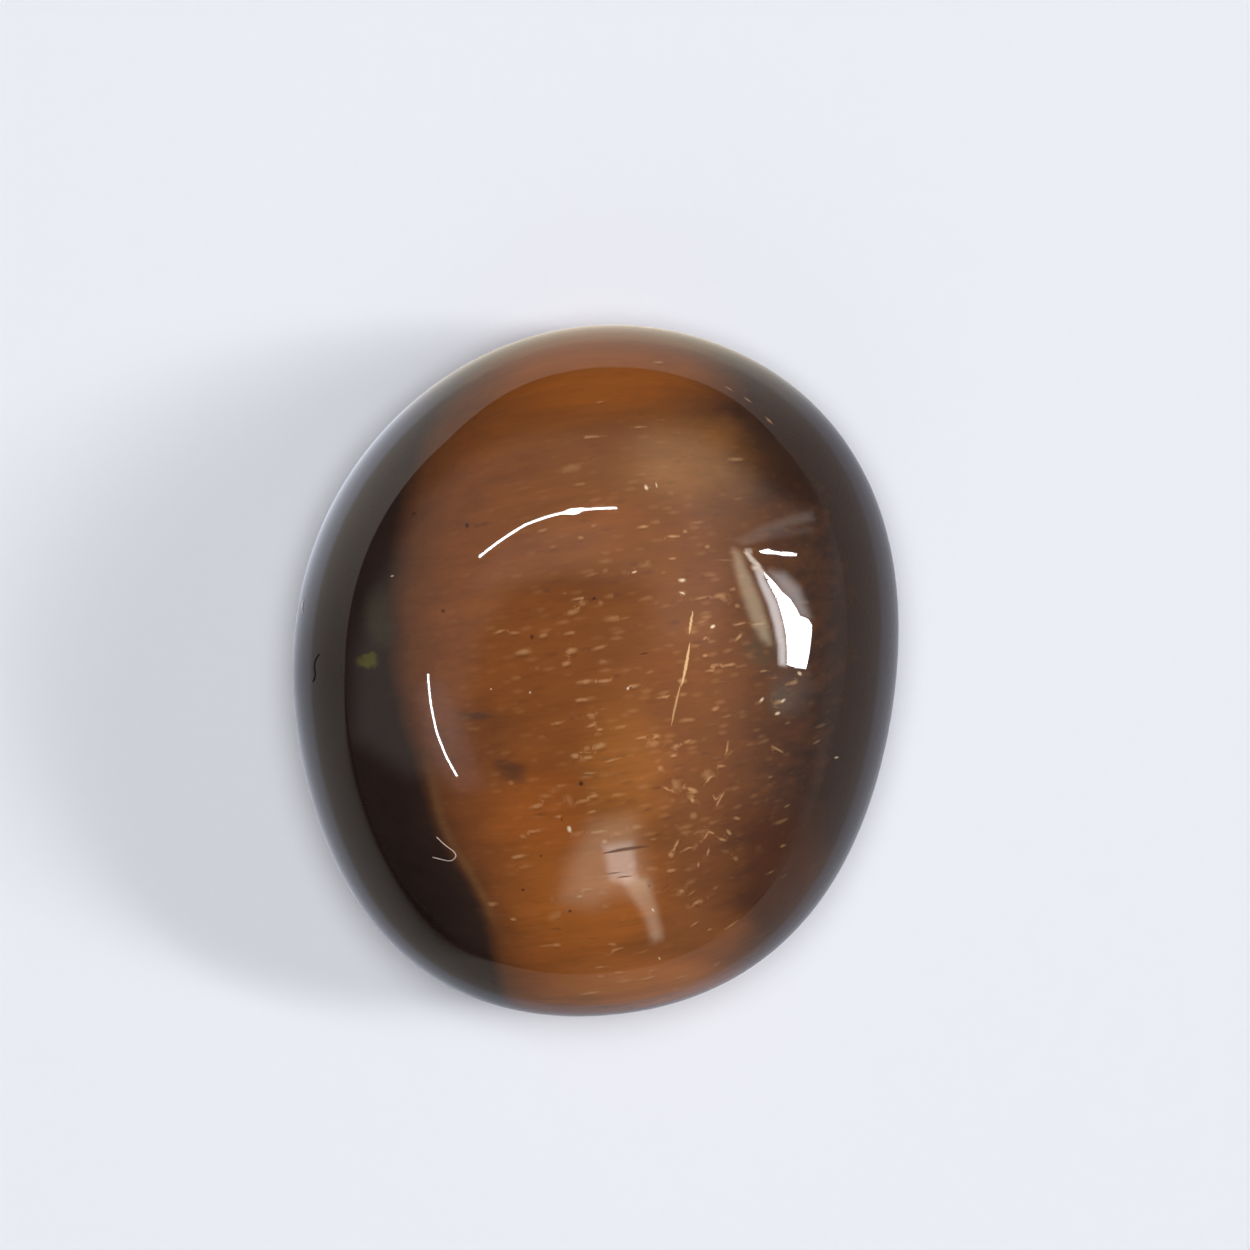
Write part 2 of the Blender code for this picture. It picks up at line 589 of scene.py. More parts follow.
# The zones of colour, by pixels of the photo. Both edges of the bright band run from its top down.
LEFT_EDGE = (
    (512, 348), (466, 380), (428, 440), (406, 520), (397, 590), (398, 650), (408, 710), (424, 765),
    (442, 832), (470, 880), (487, 915), (496, 955), (503, 995),
)
RIGHT_EDGE = (
    (702, 350), (728, 385), (748, 430), (772, 470), (792, 520), (804, 580), (804, 640), (797, 700),
    (790, 760), (772, 820), (758, 880), (744, 930), (708, 982),
)
EDGE_REACH = 24.0

# Colours across the band: 0 is its left edge and 1 its right edge. Its brighter middle is the band's own
# amber with painted chatoyant sheen on it.
BAND_COLOURS_AND_SHEEN = (
    (-0.30, (0.016, 0.0070, 0.0052)),
    (-0.08, (0.021, 0.0085, 0.0060)),
    (-0.03, (0.024, 0.0100, 0.0060)),
    (0.03, (0.115, 0.0350, 0.0080)),
    (0.12, (0.180, 0.0510, 0.0090)),
    (0.24, (0.215, 0.0610, 0.0095)),
    (0.40, (0.205, 0.0600, 0.0098)),
    (0.55, (0.178, 0.0550, 0.0096)),
    (0.70, (0.152, 0.0470, 0.0092)),
    (0.84, (0.132, 0.0415, 0.0086)),
    (0.96, (0.085, 0.0270, 0.0078)),
    (1.10, (0.031, 0.0108, 0.0058)),
    (1.50, (0.021, 0.0088, 0.0058)),
)
EDGE_TAN = (0.180, 0.080, 0.026)
EDGE_TAN_HALF_WIDTH = 0.24
EDGE_TAN_SPAN = (-1.4, -3.4, -6.2, -7.2)

# Patches: middle pixel, half-width and half-height in millimetres, colour and strength.
# The golden band, honey cloud and lit fibres are painted chatoyant sheen. The orange end is its own orange
# brightened with painted sheen.
PATCHES = (
    ("amber end", (604, 376), (4.4, 1.5), (0.285, 0.075, 0.005), 0.90),
    ("honey sheen cloud", (692, 458), (2.8, 1.7), (0.245, 0.098, 0.024), 0.80),
    ("dark streaks", (606, 592), (2.3, 0.46), (0.120, 0.034, 0.007), 0.50),
    ("lit fibres", (590, 520), (2.2, 1.6), (0.265, 0.080, 0.014), 0.50),
    ("golden sheen band", (624, 776), (1.8, 3.0), (0.300, 0.102, 0.017), 0.65),
    ("orange end with sheen", (590, 905), (3.3, 2.8), (0.335, 0.097, 0.013), 0.80),
    ("brown foot", (706, 950), (2.4, 1.9), (0.260, 0.082, 0.020), 0.65),
    ("orange tip", (640, 985), (3.6, 1.2), (0.385, 0.124, 0.027), 0.85),
    ("orange left", (540, 815), (1.9, 1.7), (0.320, 0.084, 0.010), 0.65),
    ("brown left", (478, 742), (1.7, 1.4), (0.125, 0.040, 0.010), 0.55),
    ("smudge", (509, 772), (0.52, 0.42), (0.060, 0.024, 0.014), 0.60),
    ("flat smudge", (474, 716), (0.70, 0.20), (0.065, 0.032, 0.020), 0.70),
    ("green spot", (370, 661), (0.46, 0.26), (0.110, 0.090, 0.006), 0.85),
    ("green haze", (378, 618), (0.60, 1.20), (0.046, 0.036, 0.017), 0.60),
    ("grey smudge", (764, 650), (0.80, 0.80), (0.075, 0.045, 0.022), 0.60),
    ("grey dust", (782, 700), (0.60, 0.60), (0.090, 0.062, 0.040), 0.50),
    ("dark shoulder", (780, 442), (1.7, 2.6), (0.034, 0.0125, 0.0050), 0.75),
    ("red brown side", (786, 868), (1.8, 3.2), (0.085, 0.024, 0.008), 0.65),
)
ON_THE_DOME_ONLY = ("smudge", "flat smudge", "green spot", "green haze", "grey smudge", "grey dust")

# Flecks listed one by one, in groups: the group's tone, then the pixels at both ends of each and its width in
# millimetres.
PLACED_FLECKS = {
    "dark specks": (-1.0, (
        ((530, 637), (534, 637), 0.15), ((579, 784), (583, 783), 0.15), ((592, 599), (596, 598), 0.12),
        ((561, 820), (563, 820), 0.10), ((540, 856), (542, 856), 0.09), ((521, 890), (525, 890), 0.11),
        ((568, 911), (572, 911), 0.09), ((648, 886), (651, 886), 0.08), ((465, 526), (469, 525), 0.16),
        ((412, 514), (416, 514), 0.13), ((441, 611), (445, 611), 0.12), ((640, 654), (648, 653), 0.06),
    )),
    "dark dashes": (-0.3, (
        ((541, 592), (552, 590), 0.10), ((586, 601), (598, 599), 0.09), ((651, 789), (662, 787), 0.11),
        ((650, 836), (664, 834), 0.09), ((640, 812), (655, 808), 0.08), ((712, 760), (722, 759), 0.09),
        ((470, 526), (492, 524), 0.10), ((668, 860), (673, 860), 0.10), ((695, 906), (701, 907), 0.07),
        ((596, 1007), (612, 1007), 0.20), ((622, 1008), (640, 1006), 0.16), ((664, 998), (676, 993), 0.14),
    )),
    # Some of the bright specks, those near the window, are painted glints of the window in the pits.
    "bright specks and glints": (1.35, (
        ((645, 485), (647, 490), 0.09), ((656, 483), (657, 488), 0.05), ((569, 826), (570, 832), 0.11),
        ((391, 576), (394, 576), 0.05), ((529, 693), (531, 692), 0.06), ((490, 689), (492, 689), 0.05),
        ((627, 690), (629, 687), 0.07), ((711, 628), (715, 625), 0.08), ((659, 957), (660, 960), 0.05),
        ((632, 573), (637, 571), 0.05), ((760, 701), (764, 698), 0.08), ((781, 702), (785, 699), 0.08),
        ((775, 714), (780, 713), 0.08), ((652, 908), (654, 912), 0.06), ((835, 757), (838, 758), 0.05),
        ((679, 580), (686, 580), 0.11), ((679, 592), (685, 594), 0.06), ((798, 672), (801, 675), 0.09),
    )),
    "pale flecks": (0.95, (
        ((570, 600), (589, 597), 0.07), ((657, 698), (677, 695), 0.08), ((565, 653), (577, 649), 0.16),
        ((562, 665), (570, 662), 0.14), ((586, 727), (597, 724), 0.09), ((552, 724), (562, 722), 0.10),
        ((593, 748), (606, 744), 0.16), ((582, 758), (593, 757), 0.09), ((634, 739), (650, 736), 0.08),
        ((650, 736), (660, 736), 0.12), ((609, 952), (623, 947), 0.10), ((594, 968), (608, 966), 0.09),
        ((552, 946), (561, 944), 0.12), ((576, 897), (583, 896), 0.10), ((666, 871), (675, 870), 0.11),
        ((691, 904), (703, 901), 0.16), ((637, 528), (648, 526), 0.08), ((577, 438), (603, 436), 0.09),
        ((632, 428), (646, 426), 0.07), ((678, 891), (684, 891), 0.11), ((588, 797), (599, 795), 0.11),
        ((587, 813), (596, 811), 0.09), ((670, 756), (678, 755), 0.10), ((718, 766), (725, 766), 0.09),
        ((640, 980), (655, 976), 0.10), ((494, 633), (505, 630), 0.08), ((702, 656), (708, 655), 0.09),
        ((735, 641), (742, 634), 0.08), ((581, 995), (598, 991), 0.14), ((703, 639), (708, 637), 0.08),
        ((706, 671), (716, 670), 0.08), ((668, 858), (673, 853), 0.15), ((682, 851), (694, 845), 0.08),
    )),
    "loose fibres": (1.0, (
        ((713, 795), (717, 803), 0.06), ((724, 792), (715, 808), 0.07), ((728, 742), (726, 757), 0.06),
        ((706, 782), (714, 774), 0.07), ((704, 839), (709, 831), 0.07), ((709, 848), (707, 856), 0.07),
        ((709, 831), (714, 834), 0.06), ((719, 838), (726, 841), 0.08), ((699, 861), (698, 867), 0.06),
        ((691, 797), (693, 803), 0.10), ((690, 927), (699, 921), 0.08), ((707, 930), (712, 929), 0.08),
        ((726, 387), (733, 391), 0.07), ((744, 398), (752, 402), 0.07), ((765, 417), (773, 424), 0.08),
        ((727, 830), (731, 835), 0.09), ((664, 787), (670, 791), 0.07), ((771, 745), (783, 753), 0.07),
    )),
    "soft blobs": (0.62, (
        ((671, 789), (681, 783), 0.36), ((702, 778), (712, 772), 0.26), ((688, 793), (694, 800), 0.22),
        ((560, 471), (580, 466), 0.26), ((690, 816), (697, 815), 0.20), ((548, 920), (560, 912), 0.26),
        ((540, 797), (552, 795), 0.16), ((566, 795), (572, 806), 0.20), ((642, 744), (662, 741), 0.22),
        ((604, 620), (622, 617), 0.18), ((718, 595), (728, 600), 0.20), ((616, 982), (634, 979), 0.20),
    )),
}

# Lines on the surface: both ends by pixel, width and bow in millimetres, and strength.
DARK_LINES = (
    ((601, 854), (652, 846), 0.110, 0.03, 0.95),
    ((606, 874), (622, 872), 0.045, 0.00, 0.80),
    ((616, 878), (633, 876), 0.055, 0.01, 0.85),
)
PALE_LINES = (
    ((693, 610), (689, 635), 0.070, 0.00, 0.85),
    ((690, 641), (681, 688), 0.085, 0.02, 0.90),
    ((682, 680), (671, 728), 0.060, -0.02, 0.50),
)
CRACK_BROWN = (0.120, 0.045, 0.020)
THREAD_CREAM = (0.600, 0.390, 0.180)
SPECK_BROWN = (0.016, 0.006, 0.004)
SPECK_AND_GLINT_CREAM = (0.700, 0.540, 0.360)
FLECK_TAN = (0.540, 0.300, 0.130)
DASH_TAN = (0.400, 0.190, 0.070)
DASH_AND_PIT_SHADE_BROWN = (0.070, 0.024, 0.010)
DASHES_PER_MILLIMETRE = (2.0, 6.0)
DASH_FIELD_AT = (625, 680)
DASH_FIELD_HALF = (6.8, 10.5)

# The finishes, by the shader's inputs: silk under a glassy coat, and matt where the stone is only ground.
POLISH = {
    "Metallic": 0.35,
    "Roughness": 0.55,
    "Anisotropic": 0.65,
    "Specular IOR Level": 0.2,
    "Coat Roughness": 0.02,
    "Coat IOR": 1.54,
}
CRACK_DULLING = 0.9
FIBRE_DIP = 0.34
FIBRE_BUMP = {"Strength": 0.25, "Distance": 0.00003}
GROUND = {"Roughness": 0.55}
GRINDING_BUMP = {"Strength": 0.5, "Distance": 0.00002}
GRINDING_BEARING = math.radians(-35)
LINT = {"Roughness": 0.8}
FLOOR = {"Roughness": 0.9, "Specular IOR Level": 0.1}


def turned_millimetres(tree, bearing):
    """Object coordinates in millimetres, with X turned to a bearing."""
    place = add(tree, "ShaderNodeTexCoord").outputs["Object"]
    scale = 1 / MILLIMETRE
    return add(
        tree,
        "ShaderNodeMapping",
        {"Vector": place, "Rotation": (0, 0, -bearing), "Scale": (scale, scale, scale)},
    ).outputs[0]


def on_photo(point):
    """A point's place right of the origin and above it, as the photo shows them, in millimetres."""
    return point.dot(PHOTO_RIGHT) / MILLIMETRE, point.dot(PHOTO_UP) / MILLIMETRE


def edge_line(tree, up, pixels, view):
    """How far right a zone's edge lies at each height on the photo, in millimetres."""
    node = add(tree, "ShaderNodeFloatCurve", {"Value": up / EDGE_REACH + 0.5})
    points = node.mapping.curves[0].points
    places = sorted((on_photo(view.point(pixel)) for pixel in pixels), key=lambda place: place[1])
    for index, (right, height) in enumerate(places):
        point = points[index] if index < 2 else points.new(0, 0)
        point.location = (height / EDGE_REACH + 0.5, right / EDGE_REACH + 0.5)
    node.mapping.update()
    return (Sum(tree, node.outputs[0]) - 0.5) * EDGE_REACH


def ramp(value, stops):
    """A colour ramp whose stops are at these values."""
    first, last = stops[0][0], stops[-1][0]
    node = add(value.tree, "ShaderNodeValToRGB", {"Fac": (value - first) / (last - first)})
    elements = node.color_ramp.elements
    while len(elements) < len(stops):
        elements.new(1.0)
    for element, (position, colour) in zip(elements, stops):
        element.position = (position - first) / (last - first)
        element.color = (*colour, 1.0)
    return node.outputs["Color"]


def blend(tree, share, first, second):
    """A colour between two, by a share that is a sum or a number."""
    node = add(tree, "ShaderNodeMix", data_type="RGBA", clamp_factor=True)
    feed(tree, node.inputs["Factor"], share)
    for place, colour in ((node.inputs[6], first), (node.inputs[7], second)):
        feed(tree, place, (*colour, 1.0) if isinstance(colour, tuple) else colour)
    return node.outputs[2]


def noise(tree, place, scale, detail, roughness):
    inputs = {"Vector": place, "Scale": scale, "Detail": detail, "Roughness": roughness}
    return Sum(tree, add(tree, "ShaderNodeTexNoise", inputs).outputs["Fac"])


def stretched(tree, place, along, across):
    """A place scaled along the fibres and across them, as the pattern of a noise."""
    return vector_node(tree, "MULTIPLY", place, (along, across, across))


def streaks(tree, place, along, across, detail, roughness):
    """Noise by its cells for each millimetre along the place's X and across it."""
    return noise(tree, stretched(tree, place, along, across), 1.0, detail, roughness)


def attribute(tree, name, output):
    return add(tree, "ShaderNodeAttribute", attribute_name=name).outputs[output]


def patch_share(tree, right, up, middle, half):
    """1 in the middle of an oval patch, falling smoothly to 0 at its edge."""
    x = (right - middle[0]) / half[0]
    y = (up - middle[1]) / half[1]
    return ease(length_of(x, y), 1.0, 0.25)


def line_share(tree, right, up, line, view, ragged):
    """A line's strength on a tapering line between two pixels of the photo, and 0 beside it."""
    first, last, width, bow, strength = line
    start, end = (Vector(on_photo(view.point(pixel))) for pixel in (first, last))
    middle, half = (start + end) / 2, (end - start) / 2
    way = half.normalized()
    along = ((right - middle.x) * way.x + (up - middle.y) * way.y) / half.length
    taper = greater(1 - along * along, 0.0)
    across = (up - middle.y) * way.x - (right - middle.x) * way.y - bow * taper + ragged
    beside = abs(across) / (greater(taper, 0.02) * width / 2)
    return ease(beside, 1.4, 0.4) * ease(taper, 0.0, 0.25) * strength


def body_colour(tree, view, worked):
    """The stone's colour: zones, patches and streaks, partly painted chatoyant sheen, and with worked also
    what the surface has.
    """
    photo_place = turned_millimetres(tree, STONE_TURN)
    fibre_place = turned_millimetres(tree, FIBRE_BEARING)
    right, up, height = split(tree, photo_place)
    streak = streaks(tree, fibre_place, 0.16, 2.6, 5.0, 0.62)
    fine_streak = streaks(tree, fibre_place, 0.45, 11.0, 3.0, 0.6)
    drift = streaks(tree, fibre_place, 0.30, 0.9, 3.0, 0.55)

    left_edge = edge_line(tree, up, LEFT_EDGE, view)
    right_edge = edge_line(tree, up, RIGHT_EDGE, view)
    across = (right - left_edge) / (right_edge - left_edge)
    ragged = ease(across, 0.05, 0.6) * ((streak - 0.5) * 0.40 + (drift - 0.5) * 0.16)
    colour = ramp(across + ragged + (drift - 0.5) * 0.035, BAND_COLOURS_AND_SHEEN)
    beside = abs(right - left_edge - 0.5 * EDGE_TAN_HALF_WIDTH)
    above, from_top, to_bottom, below = EDGE_TAN_SPAN
    tan_line = ease(beside, EDGE_TAN_HALF_WIDTH, 0.0) * ease(up, above, from_top)
    colour = blend(tree, tan_line * ease(up, below, to_bottom) * 0.4, colour, EDGE_TAN)
    loose_right = right + (drift - 0.5) * 1.4
    loose_up = up + (streak - 0.5) * 0.8
    for name, pixel, half, shade, strength in PATCHES:
        if name in ON_THE_DOME_ONLY and not worked:
            continue
        share = patch_share(tree, loose_right, loose_up, on_photo(view.point(pixel)), half)
        colour = blend(tree, share * strength, colour, shade)
    cloud = streaks(tree, fibre_place, 0.55, 1.3, 4.0, 0.6)
    tone = 0.40 + 0.50 * streak + 0.26 * fine_streak + 0.44 * cloud
    colour = scaled(tree, colour, tone)
    return with_marks(tree, view, colour, right, up, height, fine_streak) if worked else colour


def with_marks(tree, view, colour, right, up, height, fine_streak):
    """The colour with the flecks, specks, painted glints and lines that show on the dome."""
    on_dome = ease(height, BACK_DEPTH / MILLIMETRE, BACK_DEPTH / MILLIMETRE * 1.2)
    colour = with_dashes(tree, view, colour, right, up, on_dome)
    colour = with_flecks(tree, colour)
    ragged = (fine_streak - 0.5) * 0.05
    for line in PALE_LINES:
        colour = blend(tree, line_share(tree, right, up, line, view, ragged) * on_dome, colour, THREAD_CREAM)
    return blend(tree, crack_share(tree, view, right, up) * on_dome, colour, CRACK_BROWN)


def with_flecks(tree, colour):
    """The colour with the flecks, by tone. The stronger ones have their pit's shade painted at their lower
    side.
    """
    near = Sum(tree, attribute(tree, "near_fleck", "Fac"))
    along, across, tone = split(tree, attribute(tree, "fleck_place", "Vector"))
    ragged = noise(tree, turned_millimetres(tree, STONE_TURN), 6.0, 1.0, 0.5) - 0.5
    distance = length_of(along, across) + ragged * 1.3
    fleck = ease(distance, 1.45, 0.10) * near
    # Painted shade of the pit, below each stronger fleck.
    shade = ease(length_of(along, across + 1.9) + ragged, 1.2, 0.2) * near * ease(tone, 0.55, 0.95)
    colour = blend(tree, shade * ease(tone, 1.3, 1.0) * 0.40, colour, DASH_AND_PIT_SHADE_BROWN)
    pale = fleck * ease(tone, 0.08, 0.16) * (0.05 + 0.52 * tone * tone)
    colour = blend(tree, pale, colour, blend(tree, ease(tone, 1.0, 1.3), FLECK_TAN, SPECK_AND_GLINT_CREAM))
    dark = fleck * ease(tone, 0.10, 0.0) * (0.45 + 0.45 * ease(tone, -0.3, -1.0))
    return blend(tree, dark, colour, blend(tree, ease(tone, -0.2, -0.9), DASH_AND_PIT_SHADE_BROWN, SPECK_BROWN))


def crack_share(tree, view, right, up):
    """1 in the cracks, and 0 beside them."""
    shares = [line_share(tree, right, up, line, view, 0.0) for line in DARK_LINES]
    total = shares[0]
    for share in shares[1:]:
        total = greater(total, share)
    return total


def place_flecks(view):
    """Points for the listed flecks, with what the stone's tree needs to know of each."""
    places, values = [], []
    for tone, flecks in PLACED_FLECKS.values():
        for first, last, width in flecks:
            start, end = view.point(first), view.point(last)
            way = end - start
            turn = math.atan2(way.dot(ACROSS_FIBRE), way.dot(FIBRE))
            places.append((start + end) / 2)
            values.append((way.length / 2, width * MILLIMETRE / 2, turn, tone))
    mesh = bpy.data.meshes.new("placed_flecks")
    mesh.from_pydata(places, [], [])
    for (name, low, high), numbers in zip(FLECK_RANGES, zip(*values)):
        mesh.attributes.new(name, "FLOAT", "POINT").data.foreach_set("value", numbers)
    return in_scene("placed_flecks", mesh)


def with_dashes(tree, view, colour, right, up, on_dome):
    """The colour with the faint pale and dark dashes that lie along the fibres under the polish."""
    fibre_place = turned_millimetres(tree, FIBRE_BEARING)
    cells = add(
        tree,
        "ShaderNodeTexVoronoi",
        {"Vector": stretched(tree, fibre_place, *DASHES_PER_MILLIMETRE), "Scale": 1.0, "Randomness": 1.0},
    )
    distance = Sum(tree, cells.outputs["Distance"])
    chance, strength = split(tree, cells.outputs["Color"])[:2]
    field = patch_share(tree, right, up, on_photo(view.point(DASH_FIELD_AT)), DASH_FIELD_HALF)
    dash = ease(distance, 0.60, 0.05) * field * on_dome
    pale = dash * ease(chance, 0.60, 0.80) * (0.10 + 0.30 * strength)
    dark = dash * ease(chance, 0.18, 0.08) * (0.10 + 0.35 * strength)
    colour = blend(tree, pale, colour, DASH_TAN)
    return blend(tree, dark, colour, DASH_AND_PIT_SHADE_BROWN)


def new_material(name, finish):
    """A material with the finish's values on its shader's inputs."""
    material = bpy.data.materials.new(name)
    material.use_nodes = True
    shader = material.node_tree.nodes["Principled BSDF"]
    for place, value in finish.items():
        shader.inputs[place].default_value = value
    return material, material.node_tree, shader


def dipped_normal(tree):
    """The normal leaned along the fibres, because the fibres dip into the stone."""
    normal = add(tree, "ShaderNodeNewGeometry").outputs["Normal"]
    return vector_node(tree, "NORMALIZE", vector_node(tree, "ADD", normal, FIBRE * FIBRE_DIP))


def polished_stone(view):
    """Tiger's eye under a glassy polish: a silky lobe that the fibres stretch across themselves."""
    material, tree, shader = new_material("polished_tigers_eye", POLISH)
    feed(tree, shader.inputs["Base Color"], body_colour(tree, view, True))
    feed(tree, shader.inputs["Tangent"], join(tree, *ACROSS_FIBRE))
    right, up, height = split(tree, turned_millimetres(tree, STONE_TURN))
    feed(tree, shader.inputs["Coat Weight"], 1 - crack_share(tree, view, right, up) * CRACK_DULLING)
    fibres = streaks(tree, turned_millimetres(tree, FIBRE_BEARING), 0.5, 9.0, 3.0, 0.6)
    bump = add(tree, "ShaderNodeBump", {**FIBRE_BUMP, "Height": fibres, "Normal": dipped_normal(tree)})
    tree.links.new(bump.outputs[0], shader.inputs["Normal"])
    return material


def ground_stone(view):
    """The back: the same stone, ground flat and left matt, with fine grinding marks."""
    material, tree, shader = new_material("ground_tigers_eye", GROUND)
    marks = streaks(tree, turned_millimetres(tree, GRINDING_BEARING), 0.4, 14.0, 4.0, 0.7)
    colour = scaled(tree, body_colour(tree, view, False), 0.85 + 0.45 * marks)
    feed(tree, shader.inputs["Base Color"], colour)
    bump = add(tree, "ShaderNodeBump", {**GRINDING_BUMP, "Height": marks})
    tree.links.new(bump.outputs[0], shader.inputs["Normal"])
    return material


# Lint on the polish: the pixels along each thread, its half-thickness in metres and its colour.
THREADS = {
    "lint_hook": (
        ((437, 837), (442, 842), (448, 847), (454, 851), (457, 856), (452, 861), (444, 860), (433, 857)),
        0.000014, (0.56, 0.43, 0.36),
    ),
    "dark_hair": (
        ((319, 654), (315, 660), (314, 668), (316, 676), (313, 682)),
        0.000014, (0.02, 0.016, 0.014),
    ),
    "edge_fibre": (((304, 600), (302, 606), (303, 612)), 0.000014, (0.70, 0.66, 0.66)),
}


def lay_threads(view):
    """Each thread as a thin tube that lies on the stone."""
    for name, (pixels, half_thickness, colour) in THREADS.items():
        material = new_material(name, {**LINT, "Base Color": (*colour, 1.0)})[0]
        curve = bpy.data.curves.new(name, "CURVE")
        curve.dimensions = "3D"
        curve.bevel_depth = half_thickness
        curve.bevel_resolution = 2
        curve.use_fill_caps = True
        curve.resolution_u = 4
        curve.materials.append(material)
        spline = curve.splines.new("NURBS")
        spline.points.add(len(pixels) - 1)
        for point, pixel in zip(spline.points, pixels):
            place, normal = view.point_and_normal(pixel)
            point.co = (*(place + normal * half_thickness * 1.3), 1.0)
        spline.order_u = 3
        spline.use_endpoint_u = True
        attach(made_plain(in_scene(name, curve)), "root")


FLOOR_RADIUS = 0.6
FLOOR_DROP = 0.00002
FLOOR_WHITE = (0.85, 0.86, 0.92)
BACKDROP_WHITE = (0.80, 0.81, 0.83)
ROOM_DIM = 0.03
PAD_REACH = 0.0145
PAD_BLUE = (0.92, 0.96, 1.10)
PAD_WARM = (1.0, 0.90, 0.74)
TABLE_TAN = (1.0, 0.92, 0.84)
UPPER_REACH = 0.047
LOWER_REACH = 0.095
SOFT_REACH = 0.20
LAMP_HEIGHT = 1.2
LAMP_GLOW = 45.0
WINDOW_GLOW = 38.0
SOFT_CARD_REACH = 1.2
FADE_STEPS = 4
FINEST_STEP = 2.5

# The lamps' bearing and elevation, size, power and colour.
SOFTBOX_DISTANCE = 0.6
SOFTBOXES = (
    ("ceiling_softbox", (80, 84), 0.42, 2.7, (0.98, 0.99, 1.0)),
    ("lower_softbox", (-100, 42), 0.5, 0.25, (1.0, 0.99, 0.98)),
)


def toward(bearing, elevation):
    """A direction by its bearing on the photo, from its right round to its top, and its elevation."""
    bearing, elevation = math.radians(bearing), math.radians(elevation)
    flat = PHOTO_RIGHT * math.cos(bearing) + PHOTO_UP * math.sin(bearing)
    return flat * math.cos(elevation) + WORLD_UP * math.sin(elevation)


def mesh_from(form, name):
    """A new mesh from a bmesh, which is freed."""
    mesh = bpy.data.meshes.new(name)
    form.to_mesh(mesh)
    form.free()
    return mesh


def stage_disc(name, height, material):
    form = bmesh.new()
    bmesh.ops.create_circle(form, cap_ends=True, radius=FLOOR_RADIUS, segments=96)
    mesh = mesh_from(form, name)
    mesh.transform(Matrix.Translation((0, 0, height)))
    mesh.materials.append(material)
    disc = in_scene(name, mesh)
    return disc


def lay_floor():
    """The pale floor. The polish mirrors a second, dimmer one, as it does a small pad in a dim room."""
    material = new_material("pale_floor", {**FLOOR, "Base Color": (*FLOOR_WHITE, 1.0)})[0]
    floor = stage_disc("floor", -FLOOR_DROP, material)
    floor.visible_glossy = False
    seen_by_polish_only(stage_disc("mirrored_floor", -FLOOR_DROP, mirrored_floor_glow()))


def mirrored_floor_glow():
    """A glow with a bluish pad round the stone, brightest towards the photo's top."""
    material, tree = glow_material("mirrored_floor")
    place = add(tree, "ShaderNodeTexCoord").outputs["Object"]
    distance = Sum(tree, add(tree, "ShaderNodeVectorMath", {0: place}, operation="LENGTH").outputs["Value"])
    way = vector_node(tree, "NORMALIZE", place)
    upward = ease(dot(tree, way, toward(112, 0)), 0.30, 0.95)
    leftward = ease(dot(tree, way, toward(190, 0)), 0.20, 0.90)
    top = ease(dot(tree, way, toward(88, 0)), 0.70, 0.97)
    bottom = ease(dot(tree, way, toward(-90, 0)), 0.55, 0.95)
    soft = ease(dot(tree, way, toward(-142, 0)), 0.78, 0.97)
    beyond = ease(distance, PAD_REACH * 0.96, PAD_REACH * 1.06)
    nearness = (1 - top - bottom) / FLOOR_RADIUS + top / UPPER_REACH
    nearness = nearness + bottom / LOWER_REACH + soft / SOFT_REACH
    end = ease(distance * nearness, 1.0, 0.90 - 0.85 * soft)
    strength = (0.38 + 0.60 * upward + 0.14 * leftward + 0.08 * soft) * (1 - 0.25 * beyond) * end
    glow = tree.nodes["Emission"]
    pad = blend(tree, top, PAD_BLUE, PAD_WARM)
    feed(tree, glow.inputs["Color"], blend(tree, beyond, pad, TABLE_TAN))
    feed(tree, glow.inputs["Strength"], strength)
    return material


def light_room():
    """A dim room for the stone to mirror, with a pale backdrop where the camera looks past the floor."""
    world = bpy.data.worlds.new("room")
    bpy.context.scene.world = world
    world.use_nodes = True
    tree = world.node_tree
    background = tree.nodes["Background"]
    is_camera = add(tree, "ShaderNodeLightPath").outputs["Is Camera Ray"]
    colour = blend(tree, is_camera, (ROOM_DIM, ROOM_DIM, ROOM_DIM), BACKDROP_WHITE)
    tree.links.new(colour, background.inputs["Color"])
    bpy.context.scene.view_settings.view_transform = "Standard"


def hang_softboxes():
    """Soft lights that the polish doesn't mirror."""
    for name, way, size, power, colour in SOFTBOXES:
        data = bpy.data.lights.new(name, "AREA")
        data.shape = "DISK"
        data.size = size
        data.energy = power
        data.color = colour
        light = in_scene(name, data)
        direction = toward(*way)
        turn = direction.to_track_quat("Z", "Y").to_matrix().to_4x4()
        light.matrix_world = Matrix.Translation(direction * SOFTBOX_DISTANCE) @ turn
        light.visible_glossy = False


def glow_material(name, brightness=1.0, colour=(1, 1, 1)):
    material = bpy.data.materials.new(name)
    material.use_nodes = True
    tree = material.node_tree
    tree.nodes.clear()
    glow = add(tree, "ShaderNodeEmission", {"Color": (*colour, 1.0), "Strength": brightness})
    output = tree.nodes.new("ShaderNodeOutputMaterial")
    tree.links.new(glow.outputs[0], output.inputs["Surface"])
    return material, tree


def seen_by_polish_only(obj):
    obj.visible_camera = False
    obj.visible_diffuse = False
    obj.visible_shadow = False


def staged_card(name, mesh, material):
    mesh.materials.append(material)
    card = in_scene(name, mesh)
    seen_by_polish_only(card)
    return card


def mirror_card(name, view, outline, brightness, colour=(1, 1, 1)):
    """A level card that the camera sees mirrored in the stone inside an outline of pixels."""
    corners = []
    for pixel in outline:
        place, direction = view.mirrored(pixel)
        corners.append(place + direction * (LAMP_HEIGHT - place.z) / direction.z)
    mesh = bpy.data.meshes.new(name)
    mesh.from_pydata(corners, [], [range(len(corners))])
    return staged_card(name, mesh, glow_material(name, brightness, colour)[0])


